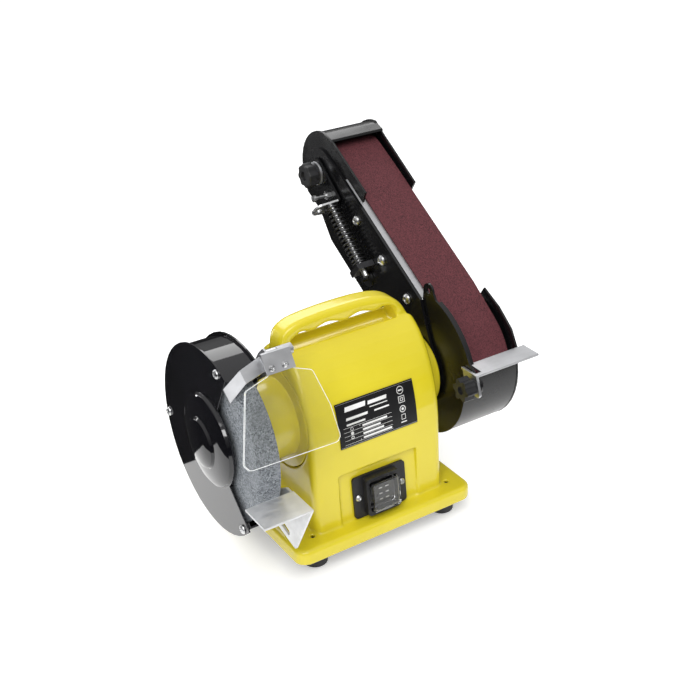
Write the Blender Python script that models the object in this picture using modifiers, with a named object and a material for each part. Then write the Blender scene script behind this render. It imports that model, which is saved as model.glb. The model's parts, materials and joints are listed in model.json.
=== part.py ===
"""Bench grinder with a grinding wheel at one end of the motor shaft and a tilting belt grinder at the other.

Drawn in millimetres and turned into metres as each mesh is made. X runs along the motor shaft towards the belt, Y
towards the back, Z up. Before the last step the shaft lies above the line y = 0 and the bench is z = 0. The last step
puts the origin under the middle of the whole object, on the bench.
"""

import math

import bmesh
import bpy
from mathutils import Matrix, Vector

MM = 0.001
CLEARANCE = 0.35

# Driving dimensions.
SHAFT_Z = 122.3
WHEEL_R = 75.0
WHEEL_WIDTH = 20.0
WHEEL_X = -109.0
BELT_WIDTH = 50.0
BELT_X = 122.7
BELT_THICK = 1.2
DRIVE_R = 56.5
ROLLER_R = 23.8
ROLLER_ALONG = 209.0
ROLLER_OUT = 35.5
ARM_LEAN = math.radians(58.4)
BODY_LEFT = -58.0
BODY_RIGHT = 74.0
BODY_HALF_DEPTH = 55.0
BODY_FOOT_HALF_DEPTH = 58.0
ARCH_START_Z = 90.0
ARCH_RISE = 100.0
ARCH_POWER = 1.08
CREST_HALF_WIDTH = 11.0
CREST_DIP = 6.0
WALL = 3.2
BASE_LEFT = -85.0
BASE_RIGHT = 97.6
BASE_HALF_DEPTH = 73.2
BASE_BOTTOM = 17.3
BASE_TOP = 31.0
BASE_CORNER = 11.0
BELL_R = 46.0
BOSS_R = 35.0
BEARING_R = 16.0
GUARD_R = 84.0
BAND_R = 81.5
SHEET = 1.5
GUARD_INNER_X = -91.3
GUARD_OUTER_X = -122.9
MOUTH_START = 28.0
MOUTH_END = 133.0
DOME_R = 41.8
HINGE = (-42.0, 209.0)
SHIELD_LEAN = math.radians(32.0)
ARRESTOR_ANGLE = 35.0
ARRESTOR_FOLDS = ((-127.0, 78.2, -6.0, 7.0), (-112.0, 88.0, -12.5, -0.5), (-89.6, 86.0, -20.0, -7.0))
ARM_PLATE_X = (88.6, 91.1)
BELT_GUARD_X = (91.5, 93.5)
BELT_COVER_X = (151.0, 153.0)
STATOR_SLOTS = 12
REST_PIVOT = (-80.0, 140.0)


def clear_scene():
    for old in list(bpy.data.objects):
        bpy.data.objects.remove(old, do_unlink=True)


def new_collection(name):
    collection = bpy.data.collections.new(name)
    bpy.context.scene.collection.children.link(collection)
    return collection


def new_material(name, colour, roughness, metallic=0.0, alpha=1.0):
    material = bpy.data.materials.new(name)
    material.use_nodes = True
    shader = material.node_tree.nodes["Principled BSDF"]
    shader.inputs["Base Color"].default_value = (*colour, 1.0)
    shader.inputs["Roughness"].default_value = roughness
    shader.inputs["Metallic"].default_value = metallic
    shader.inputs["Alpha"].default_value = alpha
    material.diffuse_color = (*colour, alpha)
    return material


clear_scene()
PARTS = new_collection("belt_grinder")
CUTTERS = new_collection("cutters")
YELLOW = new_material("yellow_paint", (0.80, 0.66, 0.03), 0.35)
BLACK = new_material("black_paint", (0.012, 0.012, 0.014), 0.25)
STEEL = new_material("steel", (0.62, 0.62, 0.64), 0.3, 1.0)
DARK_STEEL = new_material("dark_steel", (0.16, 0.16, 0.17), 0.45, 0.9)
ABRASIVE = new_material("grey_abrasive", (0.20, 0.22, 0.24), 0.95)
BELT = new_material("belt_abrasive", (0.13, 0.035, 0.04), 0.9)
CLEAR = new_material("clear_plastic", (0.9, 0.9, 0.88), 0.05, 0.0, 0.25)
BLACK_PLASTIC = new_material("black_plastic", (0.02, 0.02, 0.022), 0.4)
RUBBER = new_material("rubber", (0.03, 0.03, 0.035), 0.8)
COPPER = new_material("copper", (0.6, 0.25, 0.1), 0.4, 1.0)
ALUMINIUM = new_material("aluminium", (0.7, 0.7, 0.71), 0.4, 1.0)


def new_empty(name, location, turn_x, parent):
    empty = bpy.data.objects.new(name, None)
    empty.empty_display_size = 0.02
    PARTS.objects.link(empty)
    empty.parent = parent
    empty.location = Vector(location) * MM
    empty.rotation_euler = (turn_x, 0.0, 0.0)
    return empty


ORIGIN = new_empty("origin", (0, 0, 0), 0.0, None)
# In the arm's own frame the belt runs straight up: local Z runs along the arm and local -Y out of the belt's face.
ARM = new_empty("arm_tilt_axis", (0, 0, SHAFT_Z), -ARM_LEAN, ORIGIN)
SHIELD = new_empty("shield_hinge_axis", (0, *HINGE), -SHIELD_LEAN, ORIGIN)


def place(name, mesh, material, parent=ORIGIN):
    """Adds a mesh as a named piece or, where it has no material, as a cutter."""
    mesh.name = name
    piece = bpy.data.objects.new(name, mesh)
    piece.parent = parent
    if material is None:
        CUTTERS.objects.link(piece)
        piece.hide_render = True
        piece.display_type = "WIRE"
    else:
        PARTS.objects.link(piece)
        mesh.materials.clear()
        mesh.materials.append(material)
        mesh.shade_smooth()
        mesh.set_sharp_from_angle(angle=math.radians(35))
    return piece


def circle(centre, radius, count=24):
    return arc(centre, radius, 0, 360 - 360 / count, count - 1)


def arc(centre, radius, start, end, count):
    """Points on an arc, with angles in degrees from the first axis towards the second."""
    turns = [math.radians(start + (end - start) * i / count) for i in range(count + 1)]
    return [(centre[0] + radius * math.cos(a), centre[1] + radius * math.sin(a)) for a in turns]


def rounded(corners, radius, count=4):
    """The polygon with each corner turned into an arc. radius is one number, or one for each corner."""
    points = []
    for i, corner in enumerate(corners):
        here = Vector(corner)
        before = (Vector(corners[i - 1]) - here).normalized()
        after = (Vector(corners[(i + 1) % len(corners)]) - here).normalized()
        size = radius[i] if isinstance(radius, (list, tuple)) else radius
        half = before.angle(after) / 2
        if size <= 0 or half > math.radians(88):
            points.append(corner)
            continue
        reach = size / math.tan(half)
        centre = here + (before + after).normalized() * size / math.sin(half)
        first = here + before * reach - centre
        last = here + after * reach - centre
        for k in range(count + 1):
            spoke = first.lerp(last, k / count)
            spoke = spoke.normalized() * size if spoke.length > 1e-9 else first
            points.append(tuple(centre + spoke))
    return points


def slot(start, end, radius, count=6):
    """The outline of a slot between two hole centres."""
    angle = math.degrees(math.atan2(end[1] - start[1], end[0] - start[0]))
    return arc(end, radius, angle - 90, angle + 90, count) + arc(start, radius, angle + 90, angle + 270, count)


def prism_mesh(outlines, low, high):
    """A flat outline, with any further outlines as its holes, filled and extruded along Z from low to high."""
    curve = bpy.data.curves.new("outline", "CURVE")
    curve.dimensions = "2D"
    curve.fill_mode = "BOTH"
    curve.extrude = (high - low) / 2 * MM
    for outline in outlines:
        spline = curve.splines.new("POLY")
        spline.points.add(len(outline) - 1)
        for point, (u, v) in zip(spline.points, outline):
            point.co = (u * MM, v * MM, 0.0, 1.0)
        spline.use_cyclic_u = True
    holder = bpy.data.objects.new("outline", curve)
    bpy.context.scene.collection.objects.link(holder)
    graph = bpy.context.evaluated_depsgraph_get()
    mesh = bpy.data.meshes.new_from_object(holder.evaluated_get(graph))
    bpy.data.objects.remove(holder)
    bpy.data.curves.remove(curve)
    shape = bmesh.new()
    shape.from_mesh(mesh)
    bmesh.ops.remove_doubles(shape, verts=shape.verts, dist=1e-6)
    bmesh.ops.dissolve_limit(shape, angle_limit=0.001, verts=shape.verts, edges=shape.edges)
    bmesh.ops.translate(shape, vec=(0, 0, (low + high) / 2 * MM), verts=shape.verts)
    bmesh.ops.recalc_face_normals(shape, faces=shape.faces)
    shape.to_mesh(mesh)
    shape.free()
    return mesh


def prism_x(name, outlines, low, high, material, parent=ORIGIN):
    """Outlines in (y, z), extruded along X."""
    mesh = prism_mesh(outlines, low, high)
    mesh.transform(Matrix(((0, 0, 1, 0), (1, 0, 0, 0), (0, 1, 0, 0), (0, 0, 0, 1))))
    return place(name, mesh, material, parent)


def prism_y(name, outlines, low, high, material, parent=ORIGIN):
    """Outlines in (x, z), extruded along Y."""
    mesh = prism_mesh(outlines, -high, -low)
    mesh.transform(Matrix(((1, 0, 0, 0), (0, 0, -1, 0), (0, 1, 0, 0), (0, 0, 0, 1))))
    return place(name, mesh, material, parent)


def prism_z(name, outlines, low, high, material, parent=ORIGIN):
    """Outlines in (x, y), extruded along Z."""
    return place(name, prism_mesh(outlines, low, high), material, parent)


def box(name, low, high, material, parent=ORIGIN):
    shape = bmesh.new()
    bmesh.ops.create_cube(shape, size=1.0)
    size = (Vector(high) - Vector(low)) * MM
    centre = (Vector(high) + Vector(low)) / 2 * MM
    bmesh.ops.scale(shape, vec=size, verts=shape.verts)
    bmesh.ops.translate(shape, vec=centre, verts=shape.verts)
    mesh = bpy.data.meshes.new(name)
    shape.to_mesh(mesh)
    shape.free()
    return place(name, mesh, material, parent)


def rod_x(name, centre, radius, low, high, material, parent=ORIGIN, sides=24):
    """A plain round bar along X. Six sides make it a hexagon whose corners lie at radius."""
    return prism_x(name, [circle(centre, radius, sides)], low, high, material, parent)


def turned(name, profile, material, parent=ORIGIN, centre=(0.0, SHAFT_Z), steps=48):
    """A profile of (x, radius) points turned about a line along X through centre, which is (y, z)."""
    points = [Vector((radius, 0.0, x)) * MM for x, radius in profile]
    ring = sum(a.x * b.z - b.x * a.z for a, b in zip(points, points[1:] + points[:1]))
    if ring > 0:
        points.reverse()
    closed = min(radius for _, radius in profile) > 0
    edges = [(i, i + 1) for i in range(len(points) - 1)]
    if closed:
        edges.append((len(points) - 1, 0))
    mesh = bpy.data.meshes.new(name)
    mesh.from_pydata(points, edges, [])
    piece = place(name, mesh, material, parent)
    piece.location = (0.0, centre[0] * MM, centre[1] * MM)
    piece.rotation_euler = (0.0, math.pi / 2, 0.0)
    screw = piece.modifiers.new("turn", "SCREW")
    screw.axis = "Z"
    screw.steps = steps
    screw.render_steps = steps
    screw.use_merge_vertices = True
    screw.merge_threshold = 1e-6
    screw.use_smooth_shade = True
    return piece


def wire(name, points, radius, material, parent=ORIGIN, sides_level=1):
    curve = bpy.data.curves.new(name, "CURVE")
    curve.dimensions = "3D"
    curve.bevel_depth = radius * MM
    curve.bevel_resolution = sides_level
    curve.use_fill_caps = True
    spline = curve.splines.new("POLY")
    spline.points.add(len(points) - 1)
    for knot, point in zip(spline.points, points):
        knot.co = (*(Vector(point) * MM), 1.0)
    piece = bpy.data.objects.new(name, curve)
    PARTS.objects.link(piece)
    piece.parent = parent
    curve.materials.append(material)
    return piece


def bevel_edges(piece, width, segments, keep):
    """Rounds the sharp edges whose middle point, in millimetres, passes the test keep(x, y, z)."""
    shape = bmesh.new()
    shape.from_mesh(piece.data)
    sharp = [e for e in shape.edges if len(e.link_faces) == 2 and e.calc_face_angle() > math.radians(50)]
    chosen = [e for e in sharp if keep(*((e.verts[0].co + e.verts[1].co) / 2 / MM))]
    bmesh.ops.bevel(shape, geom=chosen, offset=width * MM, segments=segments, profile=0.5, affect="EDGES")
    shape.to_mesh(piece.data)
    shape.free()
    piece.data.shade_smooth()
    piece.data.set_sharp_from_angle(angle=math.radians(35))


def boolean(piece, others, operation):
    for other in others:
        step = piece.modifiers.new(other.name, "BOOLEAN")
        step.operation = operation
        step.object = other


def cut(piece, *cutters):
    boolean(piece, cutters, "DIFFERENCE")


def fuse(piece, *others):
    boolean(piece, others, "UNION")


def around_shaft(radius, degrees):
    """(y, z) of a point at this radius, at an angle from straight up towards the front."""
    turn = math.radians(degrees)
    return (-radius * math.sin(turn), SHAFT_Z + radius * math.cos(turn))


def sector(inner, outer, start, end, count=16):
    """(y, z) outline of a ring sector about the shaft, between angles from straight up towards the front."""
    turns = [start + (end - start) * i / count for i in range(count + 1)]
    return [around_shaft(outer, t) for t in turns] + [around_shaft(inner, t) for t in reversed(turns)]


def out_along(out, along):
    """(y, z) in the arm's frame of a point this far out of the shaft line and this far up the arm."""
    return (-out, along)


def screw_x(name, centre, head_x, tip_x, head_r, shank_r, material=STEEL, parent=ORIGIN, head_high=2.0):
    """A pan-head screw along X. Its head stands on head_x, on the side away from its tip."""
    way = 1.0 if tip_x > head_x else -1.0
    profile = [(head_x - way * head_high, 0.0), (head_x - way * head_high, head_r * 0.55),
               (head_x - way * head_high * 0.55, head_r * 0.92), (head_x, head_r), (head_x, shank_r),
               (tip_x, shank_r), (tip_x, 0.0)]
    return turned(name, profile, material, parent, centre, 16)


# ---------------------------------------------------------------- housing and base

def arch_half_depth(z, inset=0.0):
    """Half the casing's depth at a height: a straight draught, then an arch a little fuller than an ellipse."""
    if z <= ARCH_START_Z:
        part = (z - BASE_TOP) / (ARCH_START_Z - BASE_TOP)
        return BODY_FOOT_HALF_DEPTH + (BODY_HALF_DEPTH - BODY_FOOT_HALF_DEPTH) * part - inset
    rise = (z - ARCH_START_Z) / (ARCH_RISE - inset)
    return (BODY_HALF_DEPTH - inset) * max(0.0, 1.0 - rise * rise) ** (ARCH_POWER / 2)


def arch_outline(bottom, top, inset=0.0, count=10):
    """One side of the casing's section, from bottom to top, as (half depth, z) points closer together near the top."""
    points = [(arch_half_depth(bottom, inset), bottom), (arch_half_depth(ARCH_START_Z, inset), ARCH_START_Z)]
    last = math.asin((top - ARCH_START_Z) / (ARCH_RISE - inset))
    for i in range(1, count + 1):
        z = ARCH_START_Z + (ARCH_RISE - inset) * math.sin(last * i / count)
        points.append((arch_half_depth(z, inset), z))
    return points


def mirrored(side):
    return side + [(-y, z) for y, z in reversed(side)]


def crest_height():
    cosine = (CREST_HALF_WIDTH / BODY_HALF_DEPTH) ** (1 / ARCH_POWER)
    return ARCH_START_Z + ARCH_RISE * math.sqrt(1 - cosine * cosine)


CREST_Z = crest_height()
HANDLE_HALF_WIDTH = 10.5
GRIP_PITCH = 32.0


def casing_section():
    """The arch, with a shallow finger trough along its crest under the handle."""
    side = arch_outline(BASE_TOP - 5, CREST_Z)
    half = CREST_HALF_WIDTH
    side += [(half * 0.86, CREST_Z - CREST_DIP * 0.35), (half * 0.62, CREST_Z - CREST_DIP * 0.8)]
    side += [(half * 0.3, CREST_Z - CREST_DIP)]
    return mirrored(side)


def handle_outlines():
    """The handle seen from the front: its outside, and the finger opening with its waved grip."""
    knots = [(-58, 178), (-58.5, 192), (-55, 202), (-46, 208), (-32, 210.8), (-8, 212.3), (20, 212.3), (40, 210.2),
             (53, 205.8), (63, 198), (69, 189), (74, 178)]
    outside = smooth_path(knots, 3)
    grip = []
    for i in range(25):
        x = -38 + i * 86 / 24
        fade = min(1.0, (x + 38) / 6, (48 - x) / 6)
        grip.append((x, 199.2 - 1.7 * fade * math.cos(2 * math.pi * (x - 5) / GRIP_PITCH)))
    opening = grip + [(54, 197), (57.5, 191), (59, 178.6), (-50, 178.6), (-49.5, 188), (-46, 195)]
    return [outside, opening]


def smooth_path(knots, steps):
    """Catmull-Rom points through the knots, with steps to each stretch."""
    path = [knots[0]]
    for i in range(len(knots) - 1):
        before, start, end, after = (Vector(knots[min(max(k, 0), len(knots) - 1)]) for k in range(i - 1, i + 3))
        for s in range(1, steps + 1):
            t = s / steps
            pull = (end - before) * t + (before * 2 - start * 5 + end * 4 - after) * t * t
            pull += (start * 3 - before - end * 3 + after) * t * t * t
            path.append(tuple(start + pull / 2))
    return path


def rounded_box_outline(left, right, half_depth, radius, count=5):
    corners = [(left, -half_depth), (right, -half_depth), (right, half_depth), (left, half_depth)]
    return rounded(corners, radius, count)


RECESS_LEFT, RECESS_RIGHT = -33.8, 46.5
RECESS_TOP, RECESS_BOTTOM = 80.0, 31.3


def panel_face(z):
    """y of the sloping switch panel's front face."""
    return -51.2 - (RECESS_TOP - z) * 5.4 / (RECESS_TOP - RECESS_BOTTOM)


SWITCH_X = 6.8
SWITCH_Z = 52.0


def make_housing():
    housing = prism_x("housing", [casing_section()], BODY_LEFT, BODY_RIGHT, YELLOW)
    bevel_edges(housing, 6.0, 3, lambda x, y, z: x < BODY_LEFT + 0.1 or x > BODY_RIGHT - 0.1)
    handle = prism_y("handle_form", handle_outlines(), -HANDLE_HALF_WIDTH, HANDLE_HALF_WIDTH, None)
    bevel_edges(handle, 4.2, 2, lambda x, y, z: abs(y) > HANDLE_HALF_WIDTH - 0.1 and z > 186)
    base = prism_z("base_form", [rounded_box_outline(BASE_LEFT, BASE_RIGHT, BASE_HALF_DEPTH, BASE_CORNER)],
                   BASE_BOTTOM, BASE_TOP, None)
    bevel_edges(base, 4.0, 3, lambda x, y, z: z > BASE_TOP - 0.1)
    ceiling = CREST_Z - CREST_DIP - WALL
    inside = mirrored(arch_outline(BASE_BOTTOM + 6, ceiling, WALL * 1.6))
    hollow = prism_x("hollow_form", [inside], BODY_LEFT + WALL, BODY_RIGHT - WALL, None)
    tray_outline = rounded_box_outline(BASE_LEFT + WALL, BASE_RIGHT - WALL, BASE_HALF_DEPTH - WALL, BASE_CORNER - WALL)
    tray = prism_z("tray_form", [tray_outline], BASE_BOTTOM - 5, BASE_TOP - WALL, None)
    panel_side = [(panel_face(z) + shift, z) for z, shift in ((29, -2), (29, 3), (84, 3), (84, -3.2))]
    panel = prism_x("panel_form", [panel_side], RECESS_LEFT - 3, RECESS_RIGHT + 3, None)
    recess_side = [(-70, RECESS_BOTTOM), (panel_face(RECESS_BOTTOM), RECESS_BOTTOM),
                   (panel_face(RECESS_TOP), RECESS_TOP), (-70, RECESS_TOP)]
    recess = prism_x("recess_form", [recess_side], RECESS_LEFT, RECESS_RIGHT, None)
    window = box("switch_window_form", (SWITCH_X - 16, -70, SWITCH_Z - 15), (SWITCH_X + 16, -40, SWITCH_Z + 15), None)
    bell_hole = rod_x("bell_hole_form", (0, SHAFT_Z), BELL_R + CLEARANCE, BODY_LEFT - 5, BODY_RIGHT + 5, None,
                      ORIGIN, 48)
    gland_hole = prism_y("gland_hole_form", [circle((60, 24.2), 5.3, 16)], 60, 80, None)
    fuse(housing, handle, base)
    cut(housing, hollow, tray)
    fuse(housing, panel)
    cut(housing, recess, window, bell_hole, gland_hole)
    for i, (x, y) in enumerate(((-62, -55), (80, -55), (-62, 55), (80, 55))):
        hole = prism_z(f"base_hole_form_{i}", [circle((x, y), 2.2, 12)], BASE_TOP - 8, BASE_TOP + 5, None)
        cut(housing, hole)


def make_base_pieces():
    gap = WALL + CLEARANCE
    outline = rounded_box_outline(BASE_LEFT + gap, BASE_RIGHT - gap, BASE_HALF_DEPTH - gap, BASE_CORNER - gap)
    vents = [circle((x, 0), 3.0, 12) for x in (-20, 35)]
    prism_z("bottom_plate", [outline, *vents], BASE_BOTTOM, BASE_BOTTOM + 1.4, DARK_STEEL)
    corners = (("foot_front_left", -58, -51), ("foot_front_right", 78, -51), ("foot_back_left", -58, 51),
               ("foot_back_right", 78, 51))
    for name, x, y in corners:
        foot_profile = [(0.0, 0.0), (0.0, 9.6), (1.2, 11.0), (BASE_BOTTOM - CLEARANCE, 12.2),
                        (BASE_BOTTOM - CLEARANCE, 0.0)]
        foot = turned(name, foot_profile, RUBBER, ORIGIN, (y, 0.0), 24)
        foot.location = (x * MM, y * MM, 0.0)
        foot.rotation_euler = (0.0, 0.0, 0.0)
    gland_profile = [(69.0, 5.0), (73.2 + CLEARANCE, 5.0), (73.2 + CLEARANCE, 7.5), (79.0, 6.2), (79.0, 3.4), (69.0, 3.4)]
    gland = turned("cable_gland", gland_profile, BLACK_PLASTIC, ORIGIN, (0.0, 0.0), 20)
    gland.location = (60 * MM, 0.0, 24.2 * MM)
    gland.rotation_euler = (-math.pi / 2, 0.0, 0.0)


def make_nameplate():
    """A thin plate that follows the curve of the casing's front."""
    gap = 0.3
    heights = [106.0 + (145.2 - 106.0) * i / 8 for i in range(9)]
    front = [(-arch_half_depth(z) - gap - 0.7, z) for z in heights]
    back = [(-arch_half_depth(z) - gap, z) for z in reversed(heights)]
    prism_x("nameplate", [front + back], -30.5, 48.0, BLACK_PLASTIC)


# ---------------------------------------------------------------- switch

def square(half, corner):
    return rounded([(-half, -half), (half, -half), (half, half), (-half, half)], corner, 3)


def make_switch():
    """A rocker in a collared plate with its body behind, under a clear dust cover."""
    lean = math.atan2(5.4, RECESS_TOP - RECESS_BOTTOM)
    frame = new_empty("switch_frame", (SWITCH_X, panel_face(SWITCH_Z) - CLEARANCE, SWITCH_Z), -lean, ORIGIN)
    outline = rounded([(-27, -20), (27, -20), (27, 20), (-27, 20)], 3.0, 3)
    rim = rounded([(-17.5, -18), (17.5, -18), (17.5, 18), (-17.5, 18)], 3.5, 3)
    plate = prism_y("switch_plate", [outline, circle((-22.5, 0), 1.9, 12), circle((22.5, 0), 1.9, 12)], -2.4, 0.0,
                    BLACK_PLASTIC, frame)
    collar = prism_y("switch_collar_form", [rim], -9.0, -1.0, None, frame)
    body = box("switch_body_form", (-15.2, -1.5, -13.8), (15.2, 22, 13.8), None, frame)
    seat = prism_y("switch_seat_form", [square(14.4, 2.0)], -20, -3.6, None, frame)
    pocket = prism_y("switch_pocket_form", [square(12.5, 1.5)], -6, 7.2, None, frame)
    fuse(plate, collar, body)
    cut(plate, seat, pocket)
    for side, name in ((-1, "switch_screw_left"), (1, "switch_screw_right")):
        profile = [(4.6, 0.0), (4.4, 2.0), (2.4 + CLEARANCE, 3.2), (2.4 + CLEARANCE, 1.5), (0.2, 1.5), (0.2, 0.0)]
        screw = turned(name, profile, STEEL, frame, (0.0, 0.0), 16)
        screw.location = (side * 22.5 * MM, 0.0, 0.0)
        screw.rotation_euler = (math.pi / 2, 0.0, 0.0)
    side_view = [(4.5, 6.5), (4.5, -6.5), (-4.2, -9.8), (-5.8, -4.0), (-5.4, 0.0), (-6.6, 4.6), (-7.0, 9.8)]
    prism_x("switch_rocker", [rounded(side_view, 0.8, 2)], -11.5, 11.5, BLACK_PLASTIC, frame)
    cover = prism_y("switch_cover", [square(14.0, 2.0)], -13.4, -4.0, CLEAR, frame)
    hollow = prism_y("switch_cover_form", [square(12.7, 1.5)], -12.2, 0.0, None, frame)
    cut(cover, hollow)


# ---------------------------------------------------------------- motor and shaft

def make_motor():
    stator = turned("stator", [(-22, 26.0), (-22, 46.0), (38, 46.0), (38, 26.0)], DARK_STEEL, ORIGIN,
                    (0.0, SHAFT_Z), 36)
    windings = turned("windings", [(-38, 29), (-34, 27.5), (-22.4, 27.5), (-22.4, 44), (-34, 44), (-38, 41)], COPPER,
                      ORIGIN, (0.0, SHAFT_Z), 24)
    other_end = turned("winding_end_form", [(38.4, 27.5), (50, 27.5), (54, 29), (54, 41), (50, 44), (38.4, 44)], None,
                       ORIGIN, (0.0, SHAFT_Z), 24)
    fuse(windings, other_end)
    for i in range(STATOR_SLOTS):
        centre = around_shaft(35.3, 360.0 * (i + 0.37) / STATOR_SLOTS)
        cut(stator, rod_x(f"stator_slot_form_{i}", centre, 4.5, -30, 46, None, ORIGIN, 8))
        fuse(windings, rod_x(f"winding_bar_form_{i}", centre, 3.8, -30, 46, None, ORIGIN, 8))
    turned("rotor", [(-20, 9.4), (-20, 25.4), (36, 25.4), (36, 9.4)], DARK_STEEL, ORIGIN, (0.0, SHAFT_Z), 40)
    foot_z = BASE_BOTTOM + 1.4 + CLEARANCE
    saddle_corners = [(-34, foot_z), (34, foot_z), (30, 92), (-30, 92)]
    bore = rod_x("saddle_bore_form", (0, SHAFT_Z), 40.0, -30, 50, None, ORIGIN, 40)
    for name, low in (("saddle_left_form", -14.0), ("saddle_right_form", 26.0)):
        saddle = prism_x(name, [saddle_corners], low, low + 4, None)
        cut(saddle, bore)
        fuse(stator, saddle)
    shaft_profile = [(-133, 0.0), (-133, 5.4), (-132.4, 6.0), (-94.7, 6.0), (-94.7, 7.15), (-40, 7.15), (-40, 9.0),
                     (60, 9.0), (60, 7.15), (99, 7.15), (99, 6.0), (139.4, 6.0), (140, 5.4), (140, 0.0)]
    turned("motor_shaft", shaft_profile, STEEL, ORIGIN, (0.0, SHAFT_Z), 24)
    for name, low in (("bearing_left", -87.7), ("bearing_right", 74.7)):
        race = [(low, 7.5), (low, 9.9), (low + 0.8, 10.2), (low + 0.8, 13.6), (low, 13.9), (low, BEARING_R),
                (low + 10, BEARING_R), (low + 10, 13.9), (low + 9.2, 13.6), (low + 9.2, 10.2), (low + 10, 9.9),
                (low + 10, 7.5)]
        turned(name, race, STEEL, ORIGIN, (0.0, SHAFT_Z), 24)
    prism_x("capacitor", [circle((43.5, 29.0), 8.5, 20)], -40, 8, BLACK_PLASTIC)


def make_end_bells():
    seat_r = BEARING_R + CLEARANCE
    left = [(-91.0, 9.0), (-91.0, 33.8), (-89.8, BOSS_R), (BODY_LEFT, BOSS_R), (BODY_LEFT, BELL_R),
            (BODY_LEFT + 3.5, BELL_R), (BODY_LEFT + 3.5, 32.0), (-88.0, 32.0), (-88.0, 19.5), (-76.5, 19.5),
            (-76.5, seat_r), (-88.0, seat_r), (-88.0, 9.0)]
    turned("end_bell_left", left, YELLOW, ORIGIN, (0.0, SHAFT_Z), 40)
    right = [(96.6, 12.0), (96.6, 22.0), (88.2, 22.0), (88.2, 33.8), (87.0, BOSS_R), (BODY_RIGHT, BOSS_R),
             (BODY_RIGHT, BELL_R), (BODY_RIGHT - 3.5, BELL_R), (BODY_RIGHT - 3.5, 32.0), (85.0, 32.0), (85.0, 19.5),
             (73.5, 19.5), (73.5, seat_r), (85.0, seat_r), (85.0, 12.0)]
    turned("end_bell_right", right, YELLOW, ORIGIN, (0.0, SHAFT_Z), 40)


# ---------------------------------------------------------------- grinding wheel end

def make_wheel():
    left, right = WHEEL_X - WHEEL_WIDTH / 2, WHEEL_X + WHEEL_WIDTH / 2
    turned("grinding_wheel", [(left, 6.35), (left, WHEEL_R - 0.6), (left + 0.6, WHEEL_R), (right - 0.6, WHEEL_R),
                              (right, WHEEL_R - 0.6), (right, 6.35)], ABRASIVE, ORIGIN, (0.0, SHAFT_Z), 56)
    gap = CLEARANCE
    turned("wheel_flange_inner", [(right + gap, 17.0), (right + gap, 24.0), (right + 2.2, 24.0), (right + 3.9, 19.0),
                                  (right + 3.9, 6.35), (right + 1.4, 6.35), (right + 1.4, 17.0)], STEEL,
           ORIGIN, (0.0, SHAFT_Z), 36)
    turned("wheel_flange_outer", [(left - gap, 17.0), (left - gap, 24.0), (left - 2.2, 24.0), (left - 3.9, 19.0),
                                  (left - 3.9, 6.35), (left - 1.4, 6.35), (left - 1.4, 17.0)], STEEL,
           ORIGIN, (0.0, SHAFT_Z), 36)
    prism_x("wheel_nut", [circle((0, SHAFT_Z), 11.0, 6), circle((0, SHAFT_Z), 6.35, 18)], left - 12.2, left - 4.2, STEEL)


def make_guard():
    inner, outer = GUARD_INNER_X, GUARD_INNER_X - SHEET
    rim = GUARD_OUTER_X + 0.5
    profile = [(inner, 13.0), (inner, GUARD_R), (outer, GUARD_R), (outer, BAND_R), (rim, BAND_R), (rim, 76.0),
               (rim + SHEET, 76.0), (rim + SHEET, BAND_R - SHEET), (outer, BAND_R - SHEET), (outer, 13.0)]
    shell = turned("wheel_guard", profile, BLACK, ORIGIN, (0.0, SHAFT_Z), 48)
    mouth = prism_x("guard_mouth_form", [sector(42.5, 95, MOUTH_START, MOUTH_END)], -130, -88, None)
    cut(shell, mouth)
    face = GUARD_OUTER_X - SHEET
    dome = [(0, DOME_R), (2.6, 40.4), (5.0, 35.6), (6.4, 27.6), (7.0, 23.0), (9.2, 21.2), (11.2, 16.4), (12.4, 9.0),
            (12.8, 0.0)]
    outside = [(face - depth, radius) for depth, radius in dome]
    inside = [(GUARD_OUTER_X - depth, max(radius - SHEET, 0.0)) for depth, radius in dome[:-1]]
    inside.append((GUARD_OUTER_X - dome[-1][0], 0.0))
    cover_profile = [*reversed(inside), (GUARD_OUTER_X, GUARD_R), (face, GUARD_R), *outside]
    cover = turned("wheel_guard_cover", cover_profile, BLACK, ORIGIN, (0.0, SHAFT_Z), 48)
    cut(cover, mouth)
    for i, degrees in enumerate((19, 140, 262)):
        centre = around_shaft(78.6, degrees)
        hole = rod_x(f"guard_hole_form_{i}", centre, 2.2, -130, -118, None, ORIGIN, 12)
        cut(shell, hole)
        cut(cover, hole)
        screw_x(f"guard_screw_{i + 1}", centre, face - CLEARANCE, -119.9, 4.2, 1.8)
    slide_hole = rod_x("arrestor_hole_form", arrestor_point(-16, 74), 2.6, -95, -88, None, ORIGIN, 12)
    rest_hole = rod_x("rest_hole_form", REST_BOLT, 3.1, -95, -88, None, ORIGIN, 12)
    cut(shell, slide_hole, rest_hole)


def arrestor_point(across, out):
    """(y, z) in the spark arrestor's own square frame: across runs down towards the front, out away from the shaft."""
    turn = math.radians(ARRESTOR_ANGLE)
    return (-out * math.sin(turn) - across * math.cos(turn), SHAFT_Z + out * math.cos(turn) - across * math.sin(turn))


def make_arrestor():
    """A folded sheet that runs out over the mouth of the guard from a flange on the guard's inner disc."""
    strip = place("spark_arrestor", folded_sheet(ARRESTOR_FOLDS, 1.5), STEEL)
    flange_corners = [arrestor_point(*p) for p in ((-22, 62), (-11, 62), (-5, 80), (-2, 92), (-9, 104), (-20, 100),
                                                   (-22, 90))]
    slide_slot = slot(arrestor_point(-16, 66), arrestor_point(-16, 74.5), 2.5)
    flange = prism_x("arrestor_flange_form", [rounded(flange_corners, 2.0, 2), slide_slot], -90.9, -89.2, None)
    pin_hole = rod_x("arrestor_pin_form", HINGE, 2.4, -95, -85, None, ORIGIN, 12)
    fuse(strip, flange)
    cut(strip, pin_hole)
    screw_x("arrestor_screw", arrestor_point(-16, 74), -88.8, -95.0, 4.4, 2.1)


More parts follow.
